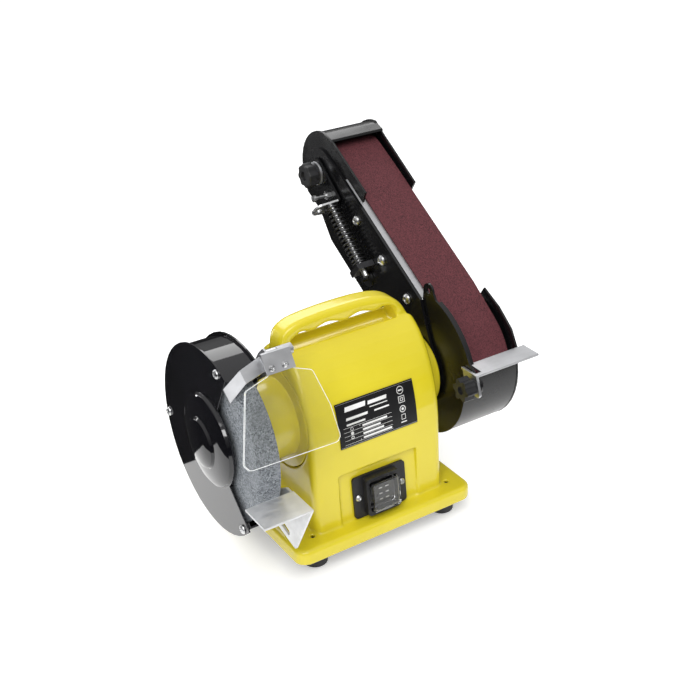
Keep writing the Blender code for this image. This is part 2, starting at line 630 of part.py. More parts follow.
def folded_sheet(folds, thick):
    """A sheet through straight fold lines, each given as (x, out, upper across, lower across)."""
    rings = []
    for x, out, upper, lower in folds:
        ring = ((upper, out), (lower, out), (lower, out + thick), (upper, out + thick))
        rings.append([Vector((x, *arrestor_point(*p))) * MM for p in ring])
    points = [point for ring in rings for point in ring]
    last = 4 * (len(folds) - 1)
    faces = [(3, 2, 1, 0), (last, last + 1, last + 2, last + 3)]
    for start in range(0, last, 4):
        faces += [(start + k, start + (k + 1) % 4, start + 4 + (k + 1) % 4, start + 4 + k) for k in range(4)]
    mesh = bpy.data.meshes.new("folded_sheet")
    mesh.from_pydata(points, [], faces)
    shape = bmesh.new()
    shape.from_mesh(mesh)
    bmesh.ops.recalc_face_normals(shape, faces=shape.faces)
    shape.to_mesh(mesh)
    shape.free()
    return mesh


def make_shield():
    fixed = prism_x("shield_bracket", [circle((0, 0), 4.6, 20), circle((0, 0), 2.4, 16)], -88.8, -79.5, STEEL, SHIELD)
    ear = box("bracket_ear_form", (-88.8, 0.5, -3.2), (-79.5, 9, 3.2), None, SHIELD)
    pin_bore = rod_x("bracket_bore_form", (0, 0), 2.4, -95, -60, None, SHIELD, 16)
    fuse(fixed, ear)
    cut(fixed, pin_bore)
    clamp = prism_x("shield_clamp", [circle((0, 0), 4.6, 20)], -79.1, -66, STEEL, SHIELD)
    bend = [(-4.0, 2.6), (-10.9, 2.6), (-12.2, 1.3), (-12.2, -15.2), (-11.0, -15.2), (-11.0, -0.4), (-9.6, 0.6),
            (-4.0, 0.6)]
    leaf = prism_x("clamp_leaf_form", [bend], -98, -72.5, None, SHIELD)
    notch = box("clamp_notch_form", (-100, -8.5, -6), (-79.1, 10, 8), None, SHIELD)
    screw_places = ((-92.5, -10.8), (-80.8, -10.8))
    holes = [prism_y(f"clamp_hole_form_{i}", [circle(c, 1.9, 10)], -20, -5, None, SHIELD)
             for i, c in enumerate(screw_places)]
    pin = rod_x("hinge_pin_form", (0, 0), 2.0, -93.5, -64.5, None, SHIELD, 16)
    fuse(clamp, leaf)
    cut(clamp, notch, *holes)
    fuse(clamp, pin)
    corners = [(-97, -7), (-74, -7), (-74, -15), (-58.8, -21), (-53, -52), (-53, -82), (-141, -80), (-119, -21),
               (-97, -15.2)]
    sheet = prism_y("eye_shield", [rounded(corners, [2, 2, 1, 4, 10, 6, 6, 4, 1], 3)], -10.7, -8.7, CLEAR, SHIELD)
    cut(sheet, *holes)
    for i, (x, z) in enumerate(screw_places):
        profile = [(14.6, 0.0), (14.3, 1.6), (12.5, 3.0), (12.5, 1.5), (5.5, 1.5), (5.5, 0.0)]
        screw = turned(f"shield_screw_{i + 1}", profile, STEEL, SHIELD, (0.0, 0.0), 16)
        screw.location = (x * MM, 0.0, z * MM)
        screw.rotation_euler = (math.pi / 2, 0.0, 0.0)


REST_BOLT = around_shaft(75.0, 144.0)
REST_SLOPE = math.radians(20)
REST_SLIDE = (-math.cos(REST_SLOPE), -math.sin(REST_SLOPE))


def make_tool_rest():
    table = box("tool_rest", (-133, -106, 98), (-88.9, -74.6, 100), STEEL)
    corners = [(-106, 98.6), (-76.5, 43), (-30, 55), (-30, 76), (-66, 98.6)]
    far_end = (REST_BOLT[0] + 22 * REST_SLIDE[0], REST_BOLT[1] + 22 * REST_SLIDE[1])
    near_end = (REST_BOLT[0] - 7.5 * REST_SLIDE[0], REST_BOLT[1] - 7.5 * REST_SLIDE[1])
    flange = prism_x("rest_flange_form", [rounded(corners, [1, 3, 5, 5, 1], 3), slot(near_end, far_end, 3.1)],
                     -90.9, -88.9, None)
    fuse(table, flange)
    bolt = rod_x("tool_rest_bolt", REST_BOLT, 5.8, -88.5, -84.5, STEEL, ORIGIN, 6)
    shank = rod_x("rest_shank_form", REST_BOLT, 2.7, -97.0, -86, None, ORIGIN, 16)
    fuse(bolt, shank)


# ---------------------------------------------------------------- belt end

BELT_LEFT = BELT_X - BELT_WIDTH / 2
BELT_RIGHT = BELT_X + BELT_WIDTH / 2
BELT_FACE = 61.7
ROLLER = out_along(ROLLER_OUT, ROLLER_ALONG)
PLATEN_LOW, PLATEN_HIGH = 34.0, 178.0
LUG = out_along(73.0, 33.0)
EAR_ALONG = REST_PIVOT[0] * math.sin(ARM_LEAN) + (REST_PIVOT[1] - SHAFT_Z) * math.cos(ARM_LEAN)
EAR_OUT = -REST_PIVOT[0] * math.cos(ARM_LEAN) + (REST_PIVOT[1] - SHAFT_Z) * math.sin(ARM_LEAN)
EAR = out_along(EAR_OUT, EAR_ALONG)


def tangent_angle(radius_a, centre_b, radius_b):
    """Angle of the outer tangent from a circle about the shaft to a circle at centre_b, on the back of the arm."""
    distance = math.hypot(*centre_b)
    return math.atan2(centre_b[1], centre_b[0]) - math.acos((radius_a - radius_b) / distance)


def belt_line(grow):
    """Closed belt path in the arm's frame, grown outwards: over the platen, round the roller and drive wheel."""
    drive, roller = DRIVE_R + grow, ROLLER_R + grow
    face = BELT_FACE - BELT_THICK + grow - 0.3
    lower = math.atan2(PLATEN_LOW, -face) + math.acos(drive / math.hypot(face, PLATEN_LOW))
    down, across = PLATEN_HIGH - ROLLER[1], -face - ROLLER[0]
    upper = 2 * math.pi + math.atan2(down, across) - math.acos(roller / math.hypot(down, across))
    back = tangent_angle(drive, ROLLER, roller)
    points = [(-face, PLATEN_LOW), (-face, PLATEN_HIGH)]
    points += arc(ROLLER, roller, math.degrees(upper), math.degrees(back), 14)
    points += arc((0, 0), drive, math.degrees(back), math.degrees(lower) - 360, 26)
    return points


def make_belt():
    gap = 0.35
    prism_x("abrasive_belt", [belt_line(gap + BELT_THICK), belt_line(gap)], BELT_LEFT, BELT_RIGHT, BELT, ARM)


def make_drive_wheel():
    left, right = BELT_LEFT + 0.3, BELT_RIGHT
    web = BELT_X + 2
    profile = [(left, DRIVE_R - 7), (left, DRIVE_R - 0.8), (left + 2, DRIVE_R), (right - 2, DRIVE_R),
               (right, DRIVE_R - 0.8), (right, DRIVE_R - 7), (web + 4, DRIVE_R - 9), (web + 4, 16.0), (web + 7, 14.0),
               (web + 7, 6.35), (99.6, 6.35), (99.6, 14.0), (web - 4, 16.0), (web - 4, DRIVE_R - 9)]
    turned("drive_wheel", profile, ALUMINIUM, ORIGIN, (0.0, SHAFT_Z), 40)
    nut_outlines = [circle((0, SHAFT_Z), 10.0, 6), circle((0, SHAFT_Z), 6.35, 18)]
    prism_x("drive_wheel_nut", nut_outlines, web + 7.4, web + 14.5, STEEL)


def make_arm_plate():
    outline = [out_along(*p) for p in ((-12, 24), (-12, 162), (0, 192))]
    outline += arc(out_along(28, 206), 31, 20, 160, 8)
    outline += [out_along(59.5, 196), out_along(59.5, 34), out_along(40, 8)]
    outline += arc((0, 0), 31, 200, 340, 8)
    holes = [circle((0, 0), 22.4, 32)]
    holes += [circle(place_at, 2.4, 10) for place_at in PLATEN_BOLTS]
    carriage_slot = slot(along_arm(-12), along_arm(3), 6.4)
    prism_x("arm_plate", [outline, *holes, carriage_slot, circle(TENSION_FOOT, 2.6, 12)], *ARM_PLATE_X, BLACK, ARM)


def along_arm(shift):
    """(y, z) in the arm's frame, on the line from shaft to roller, this far beyond the roller's centre."""
    centre = Vector(ROLLER)
    return tuple(centre + centre.normalized() * shift)


def beside_arm(along, aside):
    """(y, z) in the arm's frame: along the line from shaft to roller, and aside from it towards the belt's face."""
    line = Vector(ROLLER).normalized()
    return tuple(line * along + Vector((-line.y, line.x)) * aside)


PLATEN_BOLTS = [out_along(43, 141), out_along(43, 93), out_along(44, 47)]
TENSION_FOOT = beside_arm(98.0, -7.0)
SPRING_X = 79.0
SPRING_LOW, SPRING_HIGH = 108.0, 172.0
SPRING_ASIDE = 5.0


def make_platen():
    face = BELT_FACE - BELT_THICK - 0.3
    wall_x = ARM_PLATE_X[1] + CLEARANCE
    sheet = [out_along(*p) for p in ((face - 2, PLATEN_LOW + 1), (face - 0.3, PLATEN_LOW + 1),
                                     (face - 0.3, PLATEN_HIGH - 1), (face - 2, PLATEN_HIGH - 1))]
    platen = prism_x("platen", [sheet], wall_x, BELT_RIGHT - 1, STEEL, ARM)
    wall_outline = [out_along(*p) for p in ((36, 36), (face - 1, 36), (face - 1, 150), (36, 150))]
    wall = prism_x("platen_wall_form", [wall_outline], wall_x, wall_x + 2, None, ARM)
    fuse(platen, wall)
    for i, centre in enumerate(PLATEN_BOLTS):
        bore = rod_x(f"platen_bore_form_{i}", centre, 2.4, 85, 100, None, ARM, 10)
        cut(platen, bore)
        screw_x(f"platen_bolt_{i + 1}", centre, ARM_PLATE_X[0] - CLEARANCE, 95.4, 5.0, 2.0, STEEL, ARM, 3.0)


def make_roller():
    centre = ROLLER
    left, right = BELT_LEFT + 1.5, BELT_RIGHT - 1
    middle = (left + right) / 2
    profile = [(left, 6.6), (left, ROLLER_R - 1.2), (left + 1.5, ROLLER_R - 0.5), (middle, ROLLER_R),
               (right - 1.5, ROLLER_R - 0.5), (right, ROLLER_R - 1.2), (right, 6.6)]
    turned("tracking_roller", profile, BLACK_PLASTIC, ARM, centre, 36)
    axle = [(74.4, 0.0), (74.4, 4.6), (82.2, 4.6), (82.2, 11.4), (84.4, 11.4), (84.4, 6.0), (right + 1.6, 6.0),
            (right + 1.6, 0.0)]
    turned("roller_axle", axle, STEEL, ARM, centre, 20)


def make_carriage():
    """The sliding plate that carries the roller, its eyed tab over the spring, and the tracking knob."""
    centre = ROLLER
    outline = [beside_arm(*p) for p in ((173, -11), (173, 13), (226, 11), (226, -11))]
    plate = prism_x("tension_carriage", [rounded(outline, [2, 2, 9, 9], 4), circle(centre, 6.4, 20)], 84.8, 87.0,
                    BLACK, ARM)
    tab_outline = rounded([(86.4, -12), (61, -9), (61, 8), (86.4, 9)], [0.5, 8, 8, 0.5], 5)
    tab = prism_up_arm("carriage_tab_form", [tab_outline, circle((67.5, -0.5), 3.0, 16)], SPRING_HIGH + 1.3,
                       SPRING_HIGH + 3.1)
    stop_at = beside_arm(186.0, 2.0)
    stop = rod_x("stop_screw_form", stop_at, 1.6, 68.0, 86.0, None, ARM, 12)
    stop_head = rod_x("stop_head_form", stop_at, 3.4, 66.5, 69.0, None, ARM, 16)
    stop_nut = rod_x("stop_nut_form", stop_at, 4.2, 80.6, 85.2, None, ARM, 6)
    fuse(plate, tab, stop, stop_head, stop_nut)
    knob = prism_x("tracking_knob", [lobed_outline(centre, 11.2, 0.8, 8)], 69.6, 78.8, BLACK_PLASTIC, ARM)
    bevel_edges(knob, 1.6, 2, lambda x, y, z: x < 70)
    skirt = prism_x("knob_skirt_form", [circle(centre, 9.2, 24)], 77.4, 81.8, None, ARM)
    bore = rod_x("knob_bore_form", centre, 5.0, 74.0, 90, None, ARM, 20)
    recess = rod_x("knob_recess_form", centre, 4.6, 65, 71.5, None, ARM, 16)
    fuse(knob, skirt)
    cut(knob, bore, recess)


def prism_up_arm(name, outlines, low, high):
    """A cutter or form with outlines in (x, away from the belt's face), extruded up the line from shaft to roller."""
    line = Vector(ROLLER).normalized()
    mesh = prism_mesh(outlines, low, high)
    mesh.transform(Matrix(((1, 0, 0, 0), (0, line.y, line.x, 0), (0, -line.x, line.y, 0), (0, 0, 0, 1))))
    return place(name, mesh, None, ARM)


def lobed_outline(centre, radius, swell, lobes, count=48):
    """A knob's outline: a circle whose radius rises and falls once for each lobe."""
    points = []
    for i in range(count):
        turn = 2 * math.pi * i / count
        size = radius + swell * math.cos(lobes * turn)
        points.append((centre[0] + size * math.cos(turn), centre[1] + size * math.sin(turn)))
    return points


def arm_frame_path(aside, x, low, high):
    return [(x, *beside_arm(low, aside)), (x, *beside_arm(high, aside))]


def make_tension_spring():
    rod = tube_form("tension_rod_form", arm_frame_path(SPRING_ASIDE, SPRING_X, 96.0, SPRING_HIGH + 2), 3.0)
    fuse(bpy.data.objects["tension_carriage"], rod)
    line = Vector((0.0, *Vector(ROLLER).normalized()))
    side = Vector((1.0, 0.0, 0.0))
    front = line.cross(side)
    start = Vector((SPRING_X, *beside_arm(SPRING_LOW + 1.6, SPRING_ASIDE)))
    turns, per_turn, coil_r = 12, 9, 6.6
    length = SPRING_HIGH - SPRING_LOW - 2.8
    coil = []
    for i in range(turns * per_turn + 1):
        turn = 2 * math.pi * i / per_turn
        spoke = side * math.cos(turn) + front * math.sin(turn)
        coil.append(start + line * (length * i / (turns * per_turn)) + spoke * coil_r)
    wire("tension_spring", coil, 1.05, DARK_STEEL, ARM, 1)
    seat_corners = [beside_arm(*p) for p in ((102, -5), (102, 13), (SPRING_LOW - 0.3, 13), (SPRING_LOW - 0.3, -5))]
    seat = prism_x("spring_seat", [seat_corners], 70.5, 88.2, DARK_STEEL, ARM)
    bore = tube_form("seat_bore_form", arm_frame_path(SPRING_ASIDE, SPRING_X, 90, 120), 3.5)
    cut(seat, bore)
    bolt = rod_x("seat_bolt_form", TENSION_FOOT, 2.2, 80, 95.0, None, ARM, 12)
    lobe = rod_x("seat_foot_form", TENSION_FOOT, 8.0, 86.0, 88.2, None, ARM, 20)
    fuse(seat, lobe, bolt)


def tube_form(name, path, radius):
    """A straight round cutter between two points in the arm's frame."""
    start, end = (Vector(p) for p in path)
    shape = bmesh.new()
    bmesh.ops.create_cone(shape, cap_ends=True, segments=16, radius1=radius * MM, radius2=radius * MM,
                          depth=(end - start).length * MM)
    turn = (end - start).to_track_quat("Z", "Y").to_matrix().to_4x4()
    bmesh.ops.transform(shape, matrix=Matrix.Translation((start + end) / 2 * MM) @ turn, verts=shape.verts)
    mesh = bpy.data.meshes.new(name)
    shape.to_mesh(mesh)
    shape.free()
    return place(name, mesh, None, ARM)


def make_hood():
    """The cover over the top roller: two side flanges joined by a band that wraps the belt's end."""
    centre = ROLLER
    outer, thick = 37.5, 1.6
    left_x, right_x = 92.6, 151.6
    drum = arc(centre, outer, 10, 152, 14)
    front_lip = [out_along(71.5, 216), out_along(70.2, 214)]
    inner = list(reversed(arc(centre, outer - thick, 10, 150, 14)))
    band = prism_x("upper_hood", [drum + front_lip + inner], left_x, right_x, BLACK, ARM)
    flange = arc(centre, outer + 1.5, 5, 150, 14) + [out_along(73.5, 210), out_along(73.5, 148), out_along(62, 146),
                                                     out_along(62, 178), out_along(20, 184)]
    sides = [prism_x("hood_left_form", [flange], left_x - 1.2, left_x + 1.0, None, ARM)]
    right_flange = arc(centre, outer + 1.5, 5, 150, 14) + [out_along(68, 210), out_along(67, 150), out_along(56, 150),
                                                           out_along(20, 184)]
    sides.append(prism_x("hood_right_form", [right_flange], right_x - 1.2, right_x + 0.8, None, ARM))
    axle_clear = prism_x("hood_slot_form", [slot(along_arm(-20), along_arm(4), 7.0)], 88, 96, None, ARM)
    fuse(band, *sides)
    cut(band, axle_clear)


def polar(radius, degrees):
    """(y, z) in the arm's frame at an angle from straight out of the belt's face towards the roller."""
    turn = math.radians(degrees)
    return (-radius * math.cos(turn), radius * math.sin(turn))


def make_belt_guard():
    """The plate behind the belt, its rim and ear, and the band that wraps under the drive wheel."""
    outline = arc(LUG, 7.0, 60, 240, 8)
    outline += [polar(77.0, t) for t in range(16, -38, -6)]
    outline += arc(EAR, 7.5, 150, 310, 8)
    outline += [polar(64.0, t) for t in range(-62, -201, -6)]
    outline += [out_along(-52, 34), out_along(60, 34)]
    holes = [circle((0, 0), 22.4, 32), circle(EAR, 3.0, 12), circle(LUG, 2.8, 12)]
    plate = prism_x("belt_guard", [outline, *holes], *BELT_GUARD_X, BLACK, ARM)
    sweep = range(-48, -199, -6)
    band_outline = [polar(63.6, t) for t in sweep] + [polar(62.1, t) for t in reversed(sweep)]
    band = prism_x("guard_band_form", [band_outline], BELT_GUARD_X[0] + 0.6, BELT_COVER_X[0] - 0.4, None, ARM)
    rim_sweep = range(14, -38, -6)
    rim_outline = [polar(76.6, t) for t in rim_sweep] + [polar(75.2, t) for t in reversed(rim_sweep)]
    rim = prism_x("guard_rim_form", [rim_outline], BELT_GUARD_X[0] + 0.6, BELT_GUARD_X[1] + 3.2, None, ARM)
    fuse(plate, band, rim)
    cover_outline = [polar(64.0, t) for t in range(-46, -201, -10)] + [polar(64.0, -200), out_along(-54, 24)]
    cover_outline += [out_along(64.5, 24), out_along(66.5, 0), polar(67.5, -20), polar(67.5, -38)]
    prism_x("belt_guard_cover", [cover_outline], *BELT_COVER_X, BLACK, ARM)


def make_pivot():
    ring_profile = [(94.2, 22.4), (94.2, 31.0), (96.4, 31.0), (96.4, 22.4)]
    turned("pivot_ring", ring_profile, STEEL, ORIGIN, (0.0, SHAFT_Z), 32)


def make_belt_rest():
    table = box("belt_rest", (88.4, -83.5, 149.0), (158.0, -63.0, 151.0), STEEL)
    corners = [(-64, 150.5), (-71, 131), (-90, 131), (-83.5, 150.5)]
    flange_outline = rounded(corners, [0, 3, 3, 0], 3)
    flange = prism_x("belt_rest_flange_form", [flange_outline, circle(REST_PIVOT, 3.1, 16)], 88.4, 90.9, None)
    relief = box("belt_rest_relief_form", (90.9, -79.5, 140), (97.3, -60, 160), None)
    fuse(table, flange)
    cut(table, relief)
    knob = prism_x("belt_rest_knob", [lobed_outline(REST_PIVOT, 9.2, 1.5, 6)], 74.5, 85.0, BLACK_PLASTIC)
    skirt = prism_x("rest_knob_skirt_form", [circle(REST_PIVOT, 7.2, 20)], 84.0, 88.0, None)
    stud = rod_x("rest_knob_stud_form", REST_PIVOT, 2.6, 86, 97.5, None, ORIGIN, 16)
    recess = rod_x("rest_knob_recess_form", REST_PIVOT, 3.6, 70, 76.5, None, ORIGIN, 16)
    fuse(knob, skirt, stud)
    cut(knob, recess)


def stand_on_bench():
    """Moves the whole object so that the origin is under its middle, with its lowest point at z = 0."""
    bpy.context.view_layer.update()
    graph = bpy.context.evaluated_depsgraph_get()
    corners = []
    for piece in PARTS.objects:
        if piece.type == "EMPTY":
            continue
        seen = piece.evaluated_get(graph)
        mesh = seen.to_mesh()
        corners += [seen.matrix_world @ v.co for v in mesh.vertices]
        seen.to_mesh_clear()
    low = Vector([min(c[i] for c in corners) for i in range(3)])
    high = Vector([max(c[i] for c in corners) for i in range(3)])
    ORIGIN.location = (-(low.x + high.x) / 2, -(low.y + high.y) / 2, -low.z)
    bpy.context.view_layer.update()


make_housing()
make_base_pieces()
make_nameplate()
make_switch()
make_motor()
make_end_bells()
make_wheel()
make_guard()
make_arrestor()
make_shield()
make_tool_rest()
make_drive_wheel()
make_belt()
make_arm_plate()
make_platen()
make_roller()
make_carriage()
make_tension_spring()
make_hood()
make_belt_guard()
make_pivot()
make_belt_rest()
stand_on_bench()
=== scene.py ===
"""The looks of a bench grinder with a grinding wheel at one end and a tilting abrasive belt at the other.

Lengths are in millimetres in the design's own frame, where the motor shaft lies above the line y = 0 and
the bench is z = 0. X runs along the shaft towards the belt and Y towards the back. Each piece is moved into
the frame as it's made.
"""

import json
import math

import bmesh
import bpy
from mathutils import Matrix, Vector


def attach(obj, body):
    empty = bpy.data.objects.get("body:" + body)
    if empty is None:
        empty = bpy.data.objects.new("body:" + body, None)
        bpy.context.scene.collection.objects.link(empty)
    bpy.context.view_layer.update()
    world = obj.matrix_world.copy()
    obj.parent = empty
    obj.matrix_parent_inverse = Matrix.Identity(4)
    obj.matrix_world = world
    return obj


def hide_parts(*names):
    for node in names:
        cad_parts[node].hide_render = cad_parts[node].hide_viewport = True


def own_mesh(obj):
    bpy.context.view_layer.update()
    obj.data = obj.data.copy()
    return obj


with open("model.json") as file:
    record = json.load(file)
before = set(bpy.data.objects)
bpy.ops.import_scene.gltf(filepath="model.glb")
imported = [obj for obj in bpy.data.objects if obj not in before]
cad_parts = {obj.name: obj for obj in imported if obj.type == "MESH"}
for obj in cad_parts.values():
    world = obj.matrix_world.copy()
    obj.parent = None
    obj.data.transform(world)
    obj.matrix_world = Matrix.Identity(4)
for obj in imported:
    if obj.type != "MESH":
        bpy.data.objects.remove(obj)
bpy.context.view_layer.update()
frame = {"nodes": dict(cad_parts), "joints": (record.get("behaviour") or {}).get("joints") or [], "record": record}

MM = 0.001
JOINTS = {joint["name"]: joint for joint in frame["joints"]}
SHAFT_AT = Vector(JOINTS["spindle_spin"]["pos_m"])
SHAFT_Z = SHAFT_AT.z / MM
TO_FRAME = Matrix.Translation((SHAFT_AT.x, SHAFT_AT.y, 0.0)) @ Matrix.Scale(MM, 4)
ARM_LEAN = math.radians(58.4)
ARM_TO_DESIGN = Matrix.Translation((0, 0, SHAFT_Z)) @ Matrix.Rotation(-ARM_LEAN, 4, "X")
BODY_OF = {
    node: body for body, nodes in frame["record"]["behaviour"]["bodies"].items() for node in nodes
}


# ---------------------------------------------------------------- materials

class Shade:
    """A Principled material under construction, with short calls for the nodes that feed it."""

    def __init__(self, name, colour, roughness, metallic=0.0):
        self.material = bpy.data.materials.new(name)
        self.material.use_nodes = True
        self.tree = self.material.node_tree
        self.shader = self.tree.nodes["Principled BSDF"]
        self.set("Base Color", (*colour, 1.0))
        self.set("Roughness", roughness)
        self.set("Metallic", metallic)
        self.material.diffuse_color = (*colour, 1.0)
        self.place = self.node("ShaderNodeTexCoord").outputs["Object"]

    def set(self, socket, value):
        self.shader.inputs[socket].default_value = value
        return self

    def node(self, kind, **values):
        """Adds a node. Each value goes to its socket of that name, or else to its property."""
        made = self.tree.nodes.new(kind)
        for name, value in values.items():
            if name in made.inputs:
                made.inputs[name].default_value = value
            else:
                setattr(made, name, value)
        return made

    def link(self, output, entry):
        self.tree.links.new(output, entry)

    def stretched(self, scale):
        """The object's own coordinates, scaled by a different amount along each axis."""
        mapping = self.node("ShaderNodeMapping")
        mapping.inputs["Scale"].default_value = scale
        self.link(self.place, mapping.inputs["Vector"])
        return mapping.outputs["Vector"]

    def noise(self, scale, detail=3.0, place=None):
        made = self.node("ShaderNodeTexNoise", Scale=scale, Detail=detail)
        self.link(place or self.place, made.inputs["Vector"])
        return made.outputs["Fac"]

    def cells(self, scale):
        made = self.node("ShaderNodeTexVoronoi", Scale=scale)
        self.link(self.place, made.inputs["Vector"])
        return made

    def ramp(self, source, stops):
        """Turns a value into a colour, or a grey, between (position, colour) stops."""
        made = self.node("ShaderNodeValToRGB")
        band = made.color_ramp
        for i, (position, colour) in enumerate(stops):
            stop = band.elements[i] if i < 2 else band.elements.new(position)
            stop.position = position
            stop.color = (*colour, 1.0) if isinstance(colour, tuple) else (colour, colour, colour, 1.0)
        self.link(source, made.inputs["Fac"])
        return made.outputs["Color"]

    def mix(self, factor, first, second, mode="MIX"):
        made = self.node("ShaderNodeMix", data_type="RGBA", blend_type=mode)
        for entry, value in ((made.inputs[0], factor), (made.inputs[6], first), (made.inputs[7], second)):
            if isinstance(value, bpy.types.NodeSocket):
                self.link(value, entry)
            elif isinstance(value, tuple):
                entry.default_value = (*value, 1.0)
            else:
                entry.default_value = value
        return made.outputs[2]

    def colour(self, output):
        self.link(output, self.shader.inputs["Base Color"])
        return self

    def rough(self, source, low, high):
        """Lets a value from 0 to 1 move the roughness between low and high."""
        made = self.node("ShaderNodeMapRange")
        made.inputs["To Min"].default_value = low
        made.inputs["To Max"].default_value = high
        self.link(source, made.inputs["Value"])
        self.link(made.outputs["Result"], self.shader.inputs["Roughness"])
        return self

    def bump(self, source, height_mm, strength=1.0):
        made = self.node("ShaderNodeBump", Strength=strength, Distance=height_mm * MM)
        self.link(source, made.inputs["Height"])
        self.link(made.outputs["Normal"], self.shader.inputs["Normal"])
        return self


def enamel(name, colour, dark, light, roughness, coat=0.3):
    """Glossy sprayed enamel: a faint orange peel and slight clouding."""
    shade = Shade(name, colour, roughness)
    cloud = shade.noise(14.0, 4.0)
    shade.colour(shade.ramp(cloud, [(0.35, dark), (0.65, light)]))
    shade.rough(shade.noise(60.0, 5.0), roughness * 0.75, roughness * 1.5)
    shade.bump(shade.noise(260.0, 2.0), 0.012, 0.2)
    shade.set("Coat Weight", coat)
    shade.set("Coat Roughness", 0.05)
    return shade.material


def plated(name, colour, roughness, grain=(40.0, 900.0, 900.0)):
    """Zinc-plated or brushed steel: fine streaks along X, blotches, and slightly changing gloss."""
    shade = Shade(name, colour, roughness, 1.0)
    streaks = shade.noise(1.0, 4.0, shade.stretched(grain))
    blotch = shade.noise(55.0, 4.0)
    dull = tuple(c * 0.86 for c in colour)
    shade.colour(shade.mix(shade.ramp(blotch, [(0.35, 0.0), (0.7, 1.0)]), colour, dull))
    shade.rough(streaks, roughness * 0.65, roughness * 1.6)
    shade.bump(streaks, 0.006, 0.2)
    return shade.material


def moulded(name, colour, roughness, grain_mm=0.4):
    """Moulded black plastic with a fine spark-eroded texture."""
    shade = Shade(name, colour, roughness)
    grain = shade.noise(1.0 / (grain_mm * MM) / 2, 3.0)
    shade.rough(shade.noise(80.0, 3.0), roughness * 0.8, roughness * 1.3)
    light = tuple(min(1.0, c * 1.9 + 0.004) for c in colour)
    shade.colour(shade.ramp(shade.noise(25.0, 5.0), [(0.3, colour), (0.75, light)]))
    shade.bump(grain, 0.02, 0.4)
    shade.set("Specular IOR Level", 0.28)
    return shade.material


def bonded_grit():
    """A vitrified wheel: grey-blue grains of several tones, dark pores and a coarse surface."""
    shade = Shade("bonded_grit", (0.19, 0.21, 0.235), 0.92)
    grains = shade.cells(950.0)
    tone = shade.ramp(grains.outputs["Color"],
                      [(0.15, (0.075, 0.085, 0.10)), (0.9, (0.36, 0.385, 0.41))])
    wide = shade.noise(90.0, 6.0)
    shade.colour(shade.mix(shade.ramp(wide, [(0.38, 0.0), (0.68, 0.55)]), tone, (0.27, 0.29, 0.31)))
    shade.bump(shade.noise(1500.0, 4.0), 0.32, 0.85)
    return shade.material


def coated_cloth():
    """Aluminium-oxide belt: deep red-brown grains in a dark glue, with lighter sparkling points."""
    shade = Shade("coated_cloth", (0.090, 0.018, 0.025), 0.85)
    grains = shade.cells(1500.0)
    tone = shade.ramp(grains.outputs["Color"],
                      [(0.1, (0.042, 0.007, 0.011)), (0.82, (0.145, 0.032, 0.040))])
    wide = shade.noise(35.0, 5.0)
    shade.colour(shade.mix(shade.ramp(wide, [(0.35, 0.0), (0.7, 0.35)]), tone, (0.110, 0.024, 0.031)))
    shade.bump(grains.outputs["Distance"], 0.16, 0.8)
    return shade.material


def clear_sheet():
    """Clear polycarbonate with a faint change of gloss."""
    shade = Shade("clear_sheet", (0.97, 0.975, 0.965), 0.03)
    shade.set("Transmission Weight", 1.0)
    shade.set("IOR", 1.46)
    shade.rough(shade.noise(30.0, 3.0), 0.012, 0.05)
    return shade.material


def data_plate():
    """Black anodised sheet, slightly uneven in gloss."""
    shade = Shade("data_plate", (0.010, 0.010, 0.011), 0.32)
    tones = [(0.3, (0.008, 0.008, 0.009)), (0.7, (0.014, 0.014, 0.015))]
    shade.colour(shade.ramp(shade.noise(40.0, 4.0), tones))
    shade.rough(shade.noise(60.0, 3.0), 0.25, 0.42)
    shade.bump(shade.noise(500.0, 2.0), 0.02, 0.4)
    shade.set("Specular IOR Level", 0.22)
    return shade.material


def painted_edge_glow():
    """The polished edge of a clear sheet, painted pale with a faint glow: painted light standing in for the light
    the edge gathers.
    """
    shade = Shade("painted_edge_glow", (0.92, 0.94, 0.93), 0.22)
    tones = [(0.3, (0.80, 0.83, 0.82)), (0.7, (0.95, 0.96, 0.95))]
    shade.colour(shade.ramp(shade.noise(120.0, 3.0), tones))
    shade.rough(shade.noise(200.0, 3.0), 0.15, 0.35)
    # painted glow: a faint emission that stands in for the light the polished edge gathers
    shade.set("Emission Color", (0.95, 1.0, 0.98, 1.0))
    shade.set("Emission Strength", 0.08)
    return shade.material


def foot_rubber():
    """Dull black rubber, dusty in patches."""
    shade = Shade("foot_rubber", (0.022, 0.022, 0.024), 0.75)
    tones = [(0.3, (0.014, 0.014, 0.015)), (0.75, (0.05, 0.05, 0.052))]
    shade.colour(shade.ramp(shade.noise(70.0, 5.0), tones))
    shade.bump(shade.noise(700.0, 3.0), 0.06, 0.6)
    return shade.material


YELLOW = enamel("yellow_enamel", (0.72, 0.60, 0.022), (0.70, 0.58, 0.019), (0.735, 0.615, 0.026), 0.20)
BLACK = enamel("black_enamel", (0.004, 0.004, 0.005), (0.003, 0.003, 0.0035), (0.006, 0.006, 0.007),
               0.22, 0.0)
MIRROR_BLACK = enamel("guard_enamel", (0.004, 0.004, 0.006), (0.003, 0.003, 0.004), (0.006, 0.006, 0.008),
                      0.05, 0.30)
ZINC = plated("zinc_plate", (0.66, 0.665, 0.67), 0.27, (300.0, 300.0, 300.0))
BRUSHED = plated("brushed_steel", (0.58, 0.585, 0.60), 0.42, (60.0, 420.0, 420.0))
SATIN = plated("satin_steel", (0.80, 0.805, 0.815), 0.50, (80.0, 300.0, 300.0))
OILED = plated("oiled_steel", (0.085, 0.085, 0.09), 0.36, (300.0, 300.0, 300.0))
CAST = plated("turned_aluminium", (0.62, 0.625, 0.63), 0.35)
COPPER = plated("enamelled_copper", (0.55, 0.23, 0.09), 0.35, (300.0, 300.0, 300.0))
GRIT = bonded_grit()
CLOTH = coated_cloth()
CLEAR = clear_sheet()
PLASTIC = moulded("black_moulding", (0.013, 0.013, 0.014), 0.38)
PLATE = data_plate()
RUBBER = foot_rubber()
